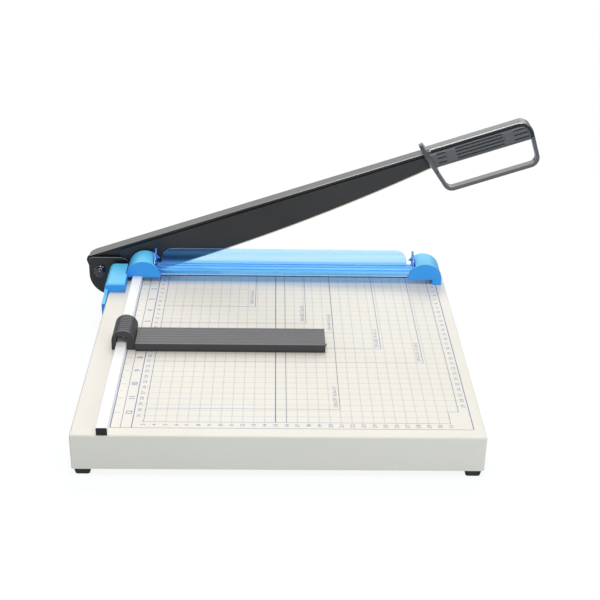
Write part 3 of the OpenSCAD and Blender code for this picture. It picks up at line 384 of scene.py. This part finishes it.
def lay_print(name, shape, material):
    """A piece of the print, which rides on the table."""
    mesh = bpy.data.meshes.new(name)
    shape.to_mesh(mesh)
    shape.free()
    mesh.materials.append(material)
    piece = bpy.data.objects.new(name, mesh)
    scene.collection.objects.link(piece)
    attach(piece, "base")


def join(name, hosts, material):
    """Several grown meshes as one piece of the print."""
    whole = bmesh.new()
    for host in hosts:
        whole.from_mesh(host.data)
        bpy.data.objects.remove(host)
    lay_print(name, whole, material)


ruling = {
    "Line pitch": cm, "Dash pitch": 2.5 * mm, "Dash length": 1.35 * mm, "Dash width": 0.42 * mm,
    "Ink": grid_ink,
}
near_corner, far_corner = 32, 0.35
across_lines = {"Length": 29 * cm, "Depth": 29 * cm, "Turn": 0.0, "Corner": on_table(3, 30)}
last_line = {"Length": 28 * cm, "Depth": 0.0, "Turn": 0.0, "Corner": on_table(3, 31)}
down_lines = {
    "Length": (near_corner - far_corner) * cm, "Depth": 27 * cm, "Turn": -math.pi / 2,
    "Corner": on_table(4, far_corner),
}
fields = [{**ruling, **extent} for extent in (across_lines, last_line, down_lines)]
join("printed_grid", [grow("dashes", dashes.tree, field_sizes) for field_sizes in fields], grid_ink)

ticks, size = rule("tick_row", {
    "Count": "NodeSocketInt", "Step": vector, "Start": vector,
    "Length": number, "Width": number, "Ink": surface,
})
row = ticks.put("GeometryNodeMeshLine", {
    "Count": size["Count"], "Start Location": size["Start"], "Offset": size["Step"],
})
tick = ticks.put("GeometryNodeMeshGrid", {
    "Size X": size["Length"], "Size Y": size["Width"], "Vertices X": 2, "Vertices Y": 2,
})
spread = ticks.put("GeometryNodeInstanceOnPoints", {"Points": row, "Instance": tick})
finish_rule(ticks, spread, size["Ink"])


def tick_row(count, step, length, width, right, depth):
    """A row of ticks down the table; its step and place are in centimetres."""
    return grow("ticks", ticks.tree, {
        "Count": count, "Step": (0, -step * cm, 0), "Start": on_table(right, depth),
        "Length": length * mm, "Width": width * mm, "Ink": line_ink,
    })


inch = 2.54
tick_rows = [
    tick_row(12, inch, 5, 0.35, 0.45, inch),
    tick_row(12, inch, 3, 0.3, 0.35, inch / 2),
    tick_row(32, 1, 2, 0.3, 2.9, 1),
    tick_row(29, 1, 2, 0.3, 32.1, 1),
]
join("printed_ticks", tick_rows, line_ink)

thin_line, plain_line, broad_line = 0.4, 0.5, 0.8
sheets = [(12.8, 9.1), (18.2, 12.8), (21.0, 14.8), (25.7, 18.2), (29.7, 21.0), (21.0, 29.7)]
lines = [
    (0.08, far_corner, 0.08, 33, broad_line), (1, far_corner, 1, 33, plain_line),
    (2, far_corner, 2, 33, broad_line), (3, far_corner, 3, 32, plain_line),
    (15, far_corner, 15, 32, broad_line), (16, far_corner, 16, 32, plain_line),
    (3, 32, 31, 32, thin_line), (0.1, 33, 33, 33, plain_line),
    (32, far_corner, 32, 30, plain_line), (33, far_corner, 33, 33, broad_line),
    (31, 30, 31, 32, thin_line), (31, 30, 32, 30, thin_line),
]
for wide, deep in sheets:
    lines += [(3, deep, wide, deep, thin_line), (wide, far_corner, wide, deep, plain_line)]
strokes = bmesh.new()
for left, back, right, front, width in lines:
    edge = width * mm / cm / 2
    if back == front:
        back, front = back - edge, front + edge
    else:
        left, right = left - edge, right + edge
    corners = [(left, front), (right, front), (right, back), (left, back)]
    strokes.faces.new([strokes.verts.new(on_table(*corner)) for corner in corners])
lay_print("printed_lines", strokes, line_ink)

glyphs = {}
for sign in "0123456789x.":
    letter = bpy.data.curves.new("glyph", "FONT")
    letter.body, letter.size, letter.resolution_u = sign, 1.0, 3
    host = bpy.data.objects.new("glyph", letter)
    scene.collection.objects.link(host)
    drawn = bpy.data.meshes.new_from_object(host.evaluated_get(bpy.context.evaluated_depsgraph_get()))
    spots = [v.co.copy() for v in drawn.vertices]
    glyphs[sign] = (spots, [tuple(p.vertices) for p in drawn.polygons], max(s.x for s in spots))
    bpy.data.objects.remove(host)
    bpy.data.meshes.remove(drawn)

figures = bmesh.new()
digit_height = 0.7
reading_turn = Matrix.Rotation(math.pi / 2, 4, "Z")


def stamp(text, right, depth, height):
    """A number printed round a place, to be read from the table's right side."""
    scale, pen = height * mm / digit_height, 0.0
    gap, space = 0.1, ((), (), 0.3)
    total = sum(glyphs.get(sign, space)[2] + gap for sign in text) - gap
    for sign in text:
        spots, faces, wide = glyphs.get(sign, space)
        drawn = []
        for spot in spots:
            flat = Vector(((spot.x + pen - total / 2) * scale, (spot.y - digit_height / 2) * scale, 0))
            drawn.append(figures.verts.new(on_table(right, depth) + reading_turn @ flat))
        for face in faces:
            figures.faces.new([drawn[i] for i in face])
        pen += wide + gap


inch_figures, side_figures, front_figures, sheet_figures = 5.8, 3.6, 3.8, 3.4
for inches in range(1, 13):
    stamp(str(inches), 1.5, inch * inches, inch_figures)
for centimetres in range(1, 32):
    stamp(str(centimetres), 2.45, centimetres, side_figures)
for centimetres in range(3, 32):
    stamp(str(centimetres), centimetres, 32.5, front_figures)
for centimetres in range(1, 30):
    stamp(str(centimetres), 32.55, centimetres, side_figures)
for wide, deep in sheets:
    in_millimetres = f"{wide * 10:.0f}x{deep * 10:.0f}"
    in_inches = f"{wide / inch:.1f}x{deep / inch:.1f}"
    stamp(f"{in_millimetres} {in_inches}", wide - 0.4, deep - 2.2, sheet_figures)
lay_print("printed_numbers", figures, line_ink)


# Feet: tapered square blocks of black rubber, pressed in a mould with a dull skin,
# each held to the table's inner flange by one screw and a nut.
def rubber(name, colour, dusty):
    skin = Finish(name, {"IOR": 1.5, "Specular IOR Level": 0.35})
    grain = skin.noise(1400, 3)
    dust = skin.mask(skin.noise(90, 4), 0.45, 0.8)
    skin.vary({
        "Base Color": skin.between(dust * 0.4, colour, dusty),
        "Roughness": 0.72 + grain * 0.15,
        "Normal": skin.relief(grain, 0.04 * mm, 0.6),
    })
    return skin.material


def plated(name, colour, tint, rough, painted_glints=None):
    """Plated steel; the sides and edges of a piece that lies along the table's depth may be painted bright
    as glints.
    """
    steel = Finish(name, {"Metallic": 1.0})
    mottle = steel.noise(260, 3)
    brushed = steel.noise(900, 2, steel.place((1, 1, 0.08)))
    shade = steel.between(mottle, colour, tint)
    # Painted glints: sides and edges that do not face along Y are painted bright.
    if painted_glints:
        shade = steel.between(1 - steel.mask(steel.facing("Y"), 0.8, 0.95), shade, painted_glints)
    steel.vary({
        "Base Color": shade,
        "Roughness": rough + (mottle - 0.5) * 0.14 + (brushed - 0.5) * 0.1,
        "Normal": steel.relief(brushed, 0.01 * mm, 0.4),
    })
    return steel.material


def coat(node, material):
    """Gives a CAD node that is shown as it is its finish."""
    slots = frame["nodes"][node].data.materials
    slots.clear()
    slots.append(material)


foot_rubber = rubber("foot_rubber", srgb(58, 58, 60), srgb(92, 91, 89))
for corner in ("front_left", "front_right", "back_left", "back_right"):
    dress(f"rubber_foot_{corner}", f"foot_{corner}", "base", foot_rubber, 0.5)
zinc = plated("zinc_plate", srgb(206, 208, 212), srgb(184, 187, 196), 0.32)
for node in ("foot_screws", "foot_nuts"):
    coat(node, zinc)


# Bed knife: a hardened bar flush with the table top, ground flat on its top and back,
# held to the back skirt by countersunk screws and nuts.
def ground(name, colour, streak, rough, lay):
    steel = Finish(name, {"Metallic": 1.0})
    scratches = steel.noise(1100, 3, steel.place(lay))
    broad = steel.noise(40, 3)
    steel.vary({
        "Base Color": steel.between(scratches * 0.7 + broad * 0.2, colour, streak),
        "Roughness": rough + (scratches - 0.5) * 0.22,
        "Normal": steel.relief(scratches, 0.012 * mm, 0.5),
    })
    return steel.material


knife_steel = ground("ground_steel", srgb(198, 199, 203), srgb(150, 152, 158), 0.3, (1, 0.05, 0.05))
dress("bed_knife_bar", "bed_knife", "base", knife_steel, 0.12)
for node in ("knife_screws", "knife_nuts"):
    coat(node, zinc)


# Fence rail: an extruded bar of white plastic with a groove down each side,
# screwed on from under the table, with a black moulded plug in its near end.
def moulded(
    name, colour, deeper, rough, grain_scale, grain,
    flow=(1, 1, 1), gloss=0.0, top=None, painted_shade=None, painted_highlight=None,
):
    """A moulded skin; its upper faces may get a painted tone for the light from above, and it may carry
    painted shade and painted highlights.
    """
    plastic = Finish(name, {"IOR": 1.49, "Coat Weight": gloss, "Coat Roughness": 0.14})
    drift = plastic.noise(28, 3, plastic.place(flow))
    texture = plastic.noise(grain_scale, 2)
    scuffs = plastic.mask(plastic.noise(150, 5, plastic.place((1, 0.25, 1))), 0.62, 0.75)
    shade = plastic.between(drift * 0.8, colour, deeper)
    # Painted light: upward faces get their own tone, standing in for the light from above.
    if top:
        rise = plastic.mask(plastic.along("Z", "Normal"), 0.35, 0.95)
        shade = plastic.between(rise * (0.8 + texture * 0.4), shade, top)
    # Painted shade in the given hollows.
    if painted_shade:
        shade = plastic.between(painted_shade(plastic), shade, srgb(16, 16, 17))
    # Painted highlight along the given edges.
    if painted_highlight:
        shade = plastic.between(painted_highlight(plastic) * (0.8 + drift * 0.3), shade, srgb(224, 224, 226))
    plastic.vary({
        "Base Color": shade,
        "Roughness": rough + (texture - 0.5) * 0.16 + scuffs * 0.08,
        "Normal": plastic.relief(texture, grain * mm, 0.5),
    })
    return plastic.material


rail_white = moulded("rail_white", srgb(255, 255, 255), srgb(249, 250, 251), 0.34, 1600, 0.006, (6, 0.15, 6))
dress("white_fence_rail", "fence_rail", "base", rail_white, 0.3)
black_moulding = moulded("black_moulding", srgb(30, 30, 32), srgb(24, 24, 26), 0.46, 1500, 0.03)
dress("rail_plug", "rail_end_plug", "base", black_moulding, 0.3)
coat("rail_screws", zinc)


# Paper guide: a ribbed black moulding that straddles the rail, with a grooved flat bar
# held to it by two screws from below; it slides along the rail and grips by friction.
# Painted light: their upper faces are painted lighter, as a sheen from the light above.
slider_grain = moulded(
    "slider_grain", srgb(60, 60, 63), srgb(50, 50, 53), 0.36, 1300, 0.035, top=srgb(84, 83, 86)
)
guide_grain = moulded(
    "guide_grain", srgb(62, 62, 65), srgb(54, 54, 57), 0.4, 1300, 0.035, top=srgb(108, 107, 110)
)
dress("guide_slider_arch", "guide_slider", "guide", slider_grain, 0.3)
dress("guide_bar_flat", "guide_bar", "guide", guide_grain, 0.35)
coat("guide_screws", zinc)


# End caps: glossy blue mouldings with a round top, screwed down from under the table;
# a coil spring stands in each and lifts the clamp guard.
# Painted light: the caps' round tops are painted a paler blue, as if lit from above.
cap_blue = moulded(
    "cap_blue", srgb(56, 168, 255), srgb(48, 160, 250), 0.36, 1200, 0.012, top=srgb(100, 208, 255)
)
dress("left_cap_moulding", "left_end_cap", "base", cap_blue, 0.5)
dress("right_cap_moulding", "right_end_cap", "base", cap_blue, 0.5)
coat("cap_screws", zinc)

coil, size = rule("wound_spring", {
    "Turns": number, "Radius": number, "Wire": number, "Height": number, "Foot": vector, "Steel": surface,
})
helix = coil.put("GeometryNodeCurveSpiral", {
    "Resolution": 24, "Rotations": size["Turns"], "Height": size["Height"],
    "Start Radius": size["Radius"], "End Radius": size["Radius"],
})
wire_round = coil.put("GeometryNodeCurvePrimitiveCircle", {"Resolution": 10, "Radius": size["Wire"] / 2})
wound = coil.put(
    "GeometryNodeCurveToMesh", {"Curve": helix, "Profile Curve": wire_round, "Fill Caps": True}
)
wound = coil.put("GeometryNodeTransform", {"Geometry": wound, "Translation": size["Foot"]})
finish_rule(coil, wound, size["Steel"])

spring_wire = plated("spring_wire", srgb(176, 178, 184), srgb(140, 142, 150), 0.28)
wire, turns, press_stroke = 0.45 * mm, 4, 7 * mm
for side in ("left", "right"):
    low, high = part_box(f"{side}_clamp_spring")
    length = high.z - low.z
    foot = Vector(((low.x + high.x) / 2, (low.y + high.y) / 2, low.z + wire / 2))
    spring = grow(f"{side}_lift_spring", coil.tree, {
        "Turns": turns, "Radius": (high.y - low.y - wire) / 2, "Wire": wire, "Height": length - wire,
        "Foot": foot, "Steel": spring_wire,
    })
    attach(spring, "base")
    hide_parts(f"{side}_clamp_spring")
    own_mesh(spring)


# Clamp guard: one clear blue moulding; its flat ribbed plate presses the paper, and
# its upright shield keeps fingers from the blade. A fin at each end runs in a cap.
guard_tint = Finish("clear_blue", {
    "IOR": 1.49, "Coat Weight": 0.6, "Coat Roughness": 0.04, "Emission Strength": 1.0,
})
plate_thickness, shield_depth, fin_inset = 2.5 * mm, 1.9 * mm, 10.5 * mm
guard_low, guard_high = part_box("clamp_guard")
plate_top = guard_low.z + plate_thickness
shield_front = guard_high.y - shield_depth
front_edge = guard_low.y + 0.4 * mm
fin_start = (guard_high.x - guard_low.x) / 2 - fin_inset
height, depth = guard_tint.along("Z"), guard_tint.along("Y")
from_middle = (guard_tint.along("X") - (guard_low.x + guard_high.x) / 2).math("ABSOLUTE", 0)

# Where each part of the moulding is, as masks
outer_skin = guard_tint.mask(height, guard_low.z + 0.1 * mm, guard_low.z + 0.2 * mm)
shield_face = guard_tint.mask(depth, shield_front - 0.2 * mm, shield_front)
upright_part = shield_face * guard_tint.mask(height, plate_top + 1.2 * mm, plate_top + 3.2 * mm)
# The shield's edge faces get a pale painted highlight.
shield_rim = upright_part * (1 - guard_tint.mask(guard_tint.facing("Y"), 0.5, 0.9))
fins = guard_tint.mask(from_middle, fin_start - 1 * mm, fin_start)
# The front face gets a pale painted highlight.
front_face = 1 - guard_tint.mask(depth, front_edge, front_edge + 0.1 * mm)
# The strip at the foot of the front face gets a dark painted shade line.
painted_edge_shade = front_face * (1 - guard_tint.mask(height, plate_top - 0.8 * mm, plate_top - 0.6 * mm))
looks_forward = guard_tint.mask(guard_tint.along("Y", "Normal") * -1, 0.5, 0.9)
# The rib fronts get a deeper blue painted shade.
rib_fronts = looks_forward * (1 - shield_face) * (1 - front_face)

# The plastic's colour, with painted light: painted highlights on the front face and the shield's rim, a
# deeper blue painted shade on the rib fronts, a dark painted shade line under the front edge, and a painted
# glow as emission
haze = guard_tint.noise(160, 3)
bands = guard_tint.noise(240, 2, guard_tint.place((0.02, 1, 1)))
shade = guard_tint.between(guard_tint.mask(bands, 0.25, 0.75), srgb(40, 170, 250), srgb(160, 230, 255))
shade = guard_tint.between(upright_part, shade, srgb(150, 214, 255))
shade = guard_tint.between(shield_rim, shade, srgb(190, 214, 230))
shade = guard_tint.between(rib_fronts, shade, srgb(44, 146, 238))
shade = guard_tint.between(front_face, shade, srgb(206, 236, 248))
shade = guard_tint.between(painted_edge_shade, shade, srgb(12, 26, 40))
# Painted glow: emission as though the plastic lit itself, dimmer in the fins and none on the shade line.
painted_glow = guard_tint.between(upright_part, srgb(26, 66, 142), srgb(20, 40, 110))
painted_glow = guard_tint.between(fins, painted_glow, srgb(8, 14, 60))
guard_tint.vary({
    "Base Color": guard_tint.between(fins, shade, srgb(30, 56, 190)),
    "Roughness": 0.05 + haze * 0.08,
    "Emission Color": guard_tint.between(painted_edge_shade, painted_glow, srgb(0, 0, 0)),
})

# What shows through the plastic, and what the lamps send through it
plate_clear = guard_tint.put("ShaderNodeBsdfTransparent", {"Color": srgb(178, 232, 255)})
shield_clear = guard_tint.put("ShaderNodeBsdfTransparent", {"Color": srgb(226, 249, 255)})
shadow_clear = guard_tint.put("ShaderNodeBsdfTransparent", {"Color": srgb(128, 158, 168)})
thinness = (shield_face + upright_part) * 0.5
clear = guard_tint.put("ShaderNodeMixShader", {0: thinness, 1: plate_clear, 2: shield_clear})
milky = 0.36 + (bands - 0.5) * 0.3 - shield_face * 0.1 - upright_part * 0.16 + fins * 0.4
# The faces with painted highlight and shade are shown more opaque.
milky = (milky + (front_face + rib_fronts + shield_rim) * 0.45) * outer_skin
skin = Value(guard_tint.tree, guard_tint.shader.outputs[0])
plastic_look = guard_tint.put("ShaderNodeMixShader", {0: milky, 1: clear, 2: skin})
lamp_ray = guard_tint.put("ShaderNodeLightPath", out="Is Shadow Ray")
guard_tint.show(guard_tint.put("ShaderNodeMixShader", {0: lamp_ray, 1: plastic_look, 2: shadow_clear}))
dress("clear_guard", "clamp_guard", "clamp", guard_tint.material, 0.25)


# Side cover: a blue lid over the left back corner with a flap down the table's side,
# moulded like the caps and screwed on from below.
dress("side_cover_lid", "side_cover", "base", cap_blue, 0.5)
coat("cover_screws", zinc)


# Pivot: a black enamelled steel bracket bolted behind the table, and a blackened
# shoulder bolt with washers, a disc spring and a lock nut, which carries the arm.
def rim_wear(paint):
    """Painted highlight: pale edges along the top of the bracket."""
    return paint.upper_edge() * 0.4


bracket_black = enamel("bracket_black", srgb(38, 38, 40), srgb(30, 30, 32), 0.36, 0.05, 0.4, rim_wear)
dress("pivot_bracket_plate", "pivot_bracket", "base", bracket_black, 1.4)
for node in ("bracket_screws", "bracket_nuts"):
    coat(node, zinc)
# Painted glints: the bolt, washer and nut have their sides and edges painted bright.
black_oxide = plated("black_oxide", srgb(100, 100, 104), srgb(72, 72, 76), 0.13, srgb(190, 190, 194))
dress("pivot_shoulder_bolt", "pivot_bolt", "base", black_oxide, 0.4)
dress("pivot_front_washer", "pivot_washer", "base", black_oxide, 0.4)
dress("pivot_nut", "pivot_lock_nut", "base", black_oxide, 0.9)
coat("thrust_washer", zinc)
coat("disc_spring", spring_wire)


# Arm: a bar folded from steel with a broad top flange, enamelled black;
# it turns on a brass bush, and its far end runs into the handle.
arm_tilt = math.radians(18.8)
flange_rise, flange_thickness = 19.5 * mm, 2.5 * mm
hinge = next(joint for joint in frame["joints"] if joint["name"] == "arm_hinge")
pivot = Vector(hinge["pos_m"])
flange_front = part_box("arm_beam")[0].y
flange_top = (Matrix.Rotation(arm_tilt, 3, "Y") @ pivot).z + flange_rise
flange_under = flange_top - flange_thickness


def square_to_arm(paint):
    """Height measured square to the tilted arm."""
    turned = paint.place(turn=(0, arm_tilt, 0))
    return paint.put("ShaderNodeSeparateXYZ", {"Vector": turned}, out="Z")


def fold_wear(paint):
    """A painted highlight along the flange's front corner, stronger toward the handle."""
    near = 1 - paint.mask(paint.along("Y"), flange_front + 1.2 * mm, flange_front + 1.8 * mm)
    high = paint.mask(square_to_arm(paint), flange_top - 0.3 * mm, flange_top - 0.1 * mm)
    toward_handle = paint.mask(paint.along("X"), -80 * mm, 100 * mm)
    return near * high * (0.05 + toward_handle * 0.55)


def fold_face(paint):
    """Painted shade on the narrow front face under that corner."""
    looks_ahead = paint.mask(paint.along("Y", "Normal") * -1, 0.5, 0.9)
    return looks_ahead * paint.mask(square_to_arm(paint), flange_under - 0.2 * mm, flange_under)


# The arm's enamel carries a painted highlight on the flange's front corner and painted shade on the face
# below it.
arm_black = enamel(
    "arm_black", srgb(38, 38, 40), srgb(30, 30, 32), 0.36, 0.05, 0.36, painted_highlight=fold_wear, painted_shade=fold_face
)
dress("folded_arm", "arm_beam", "arm", arm_black, 0.9)
bush_brass = plated("bush_brass", srgb(206, 172, 96), srgb(184, 148, 76), 0.3)
coat("pivot_bush", bush_brass)


# Blade: a curved plate of blackened steel, flat on the table's side and ground bright
# along its edge, held to the arm by six screws from behind.
blade_black = Finish("blade_black", {"IOR": 1.5})
scratches = blade_black.noise(900, 3, blade_black.place((0.06, 1, 1), (0, arm_tilt, 0)))
cloud = blade_black.noise(26, 3)
edge_radius, edge_middle, edge_drop = 2247.8 * mm, 73 * mm, 21.8 * mm
bright_width = 1 * mm
to_centre = Vector((edge_middle, 0, edge_radius - edge_drop))
arc_centre = pivot + Matrix.Rotation(-arm_tilt, 3, "Y") @ to_centre
flat_spot = blade_black.put("ShaderNodeCombineXYZ", {
    "X": blade_black.along("X"), "Y": arc_centre.y, "Z": blade_black.along("Z"),
})
from_centre = blade_black.put(
    "ShaderNodeVectorMath", {0: flat_spot, 1: arc_centre}, {"operation": "DISTANCE"}, "Value"
)
edge_start = edge_radius - bright_width
ground_edge = blade_black.mask(from_centre, edge_start - 0.3 * mm, edge_start)
plate_shade = blade_black.between(cloud, srgb(52, 52, 54), srgb(44, 44, 46))
edge_shade = blade_black.between(scratches, srgb(226, 216, 200), srgb(196, 186, 172))
blade_black.vary({
    "Base Color": blade_black.between(ground_edge, plate_shade, edge_shade),
    "Metallic": ground_edge * 0.6,
    "Roughness": 0.42 + (scratches - 0.5) * 0.16,
    "Normal": blade_black.relief(scratches, 0.008 * mm, 0.4),
})
dress("curved_blade", "blade", "arm", blade_black.material, 0.1)
coat("blade_screws", zinc)


# Handle: a black moulded grip pushed over the arm's end and held by two screws,
# with a leaning finger stop, grooves on both sides and a loop round the fingers.
handle_low, handle_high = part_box("handle")
grip_middle = (handle_low.y + handle_high.y) / 2
grip_half = 9 * mm
rim_height = flange_top + 3 * mm
panel_top = flange_top - 2 * mm
stop_end = handle_low.x + 10 * mm


def grip_hollows(plastic):
    """Painted shade where a face looks forward or back from the bottom of a groove in the grip."""
    inward = grip_half - (plastic.along("Y") - grip_middle).math("ABSOLUTE", 0)
    groove = plastic.mask(inward, 0.7 * mm, 1.1 * mm) * (1 - plastic.mask(inward, 2.4 * mm, 3 * mm))
    return groove * plastic.mask(plastic.facing("Y"), 0.5, 0.8)


def grip_wear(plastic):
    """Painted highlights on the grip: along its rim, and less so on the ridges of its panels."""
    level = square_to_arm(plastic)
    rim = plastic.upper_edge() * plastic.mask(level, rim_height - 2 * mm, rim_height - 1.6 * mm)
    panel = plastic.mask(plastic.facing("Y"), 0.5, 0.8) * (1 - grip_hollows(plastic))
    ridges = panel * (1 - plastic.mask(level, panel_top, panel_top + 0.2 * mm))
    top_ridge = plastic.mask(level, panel_top - 2.4 * mm, panel_top - 1.2 * mm)
    past_stop = plastic.mask(plastic.along("X"), stop_end, stop_end + 3 * mm)
    return (rim + ridges * (0.04 + top_ridge * 0.22)) * past_stop


# The handle's upper faces get a darker painted tone, with painted shade in the grooves and painted
# highlights on rim and ridges.
handle_grain = moulded(
    "handle_grain", srgb(88, 88, 93), srgb(78, 78, 83), 0.3, 1400, 0.03,
    top=srgb(66, 66, 69), painted_shade=grip_hollows, gloss=0.5, painted_highlight=grip_wear,
)
dress("moulded_handle", "handle", "arm", handle_grain, 0.6)
coat("handle_screws", zinc)
